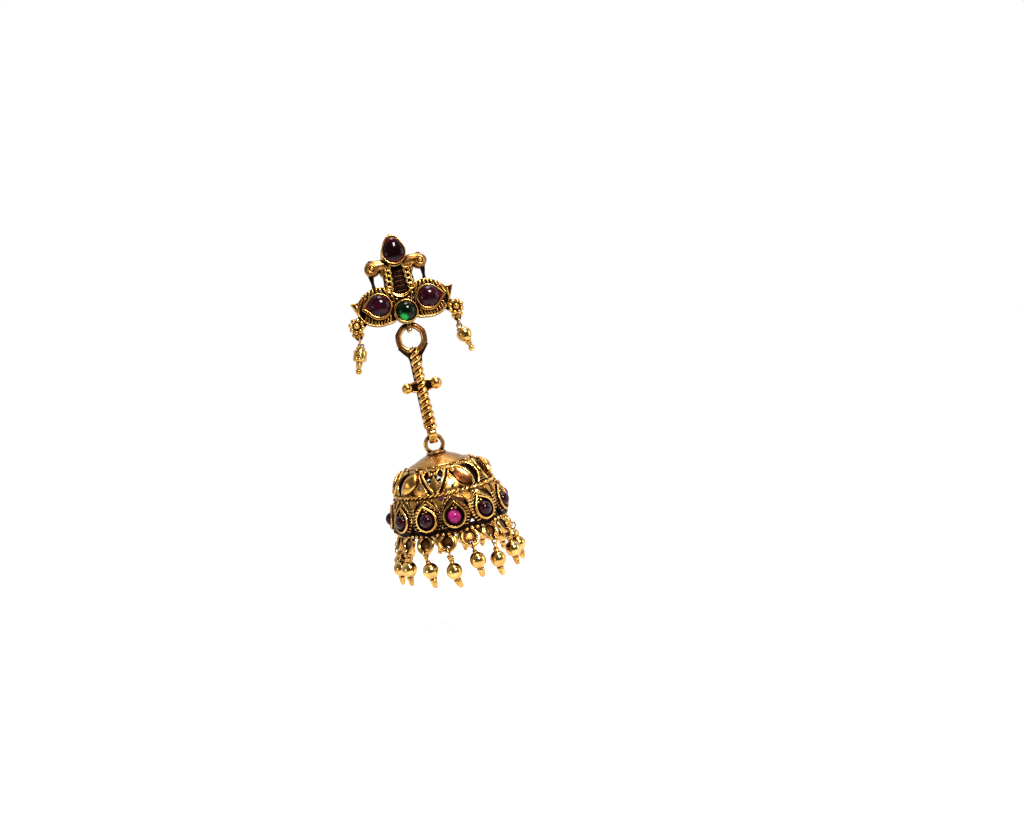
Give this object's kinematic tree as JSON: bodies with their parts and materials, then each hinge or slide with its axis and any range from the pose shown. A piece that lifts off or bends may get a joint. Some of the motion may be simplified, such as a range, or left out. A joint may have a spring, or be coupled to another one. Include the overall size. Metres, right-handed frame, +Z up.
{
  "type": "jhumka earring",
  "caption": "Hanging bell-shaped earring: a stud set with stones, a twisted bar and a pierced dome with a fringe of gold beads.",
  "frame": {"origin": "middle of the stud's flat back, where the post leaves it and enters the ear lobe", "axes": "+Z up as it hangs, -Y towards the side that is seen when worn, +Y along the post into the lobe"},
  "size_m": [0.0269, 0.0263, 0.0689],
  "materials": {
    "antique_gold": "antique gold plate, dark in the recesses",
    "wire_gold": "bright gold plate, drawn wire",
    "bead_gold": "polished gold plate",
    "post_metal": "plain plated wire",
    "garnet_glass": "polished dark red cabochon",
    "pink_glass": "polished cloudy pink cabochon",
    "green_glass": "polished dark green cabochon"
  },
  "bodies": {
    "stud": {"stud_casting": "antique_gold", "ear_post": "post_metal", "stone_top": "garnet_glass", "stone_left": "garnet_glass", "stone_right": "garnet_glass", "stone_green": "green_glass", "side_ring_left": "wire_gold", "side_ring_right": "wire_gold", "side_pin_left": "wire_gold", "side_pin_right": "wire_gold", "side_bead_left": "bead_gold", "side_bead_right": "bead_gold"},
    "bar": {"twist_bar": "antique_gold"},
    "dome": {"jhumka_dome": "antique_gold", "dome_stone_01": "pink_glass", "dome_stone_02": "garnet_glass", "dome_stone_03": "garnet_glass", "dome_stone_04": "pink_glass", "dome_stone_05": "garnet_glass", "dome_stone_06": "garnet_glass", "dome_stone_07": "pink_glass", "dome_stone_08": "garnet_glass", "dome_stone_09": "garnet_glass", "dome_stone_10": "garnet_glass", "dome_stone_11": "garnet_glass", "dome_stone_12": "garnet_glass", "tassel_bead_01": "bead_gold", "tassel_bead_02": "bead_gold", "tassel_bead_03": "bead_gold", "tassel_bead_04": "bead_gold", "tassel_bead_05": "bead_gold", "tassel_bead_06": "bead_gold", "tassel_bead_07": "bead_gold", "tassel_bead_08": "bead_gold", "tassel_bead_09": "bead_gold", "tassel_bead_10": "bead_gold", "tassel_bead_11": "bead_gold", "tassel_bead_12": "bead_gold", "tassel_bead_13": "bead_gold", "tassel_bead_14": "bead_gold", "tassel_bead_15": "bead_gold", "tassel_bead_16": "bead_gold", "tassel_pins": "wire_gold"}
  },
  "joints": [
    {"name": "bar_swing", "type": "hinge", "parent": "stud", "child": "bar", "pos_m": [0, -0.0011, -0.00936], "axis": [0, 1, 0], "range_deg": [-30, 30]},
    {"name": "dome_swing", "type": "hinge", "parent": "bar", "child": "dome", "pos_m": [0, -0.0011, -0.03089], "axis": [1, 0, 0], "range_deg": [-35, 35]}
  ]
}
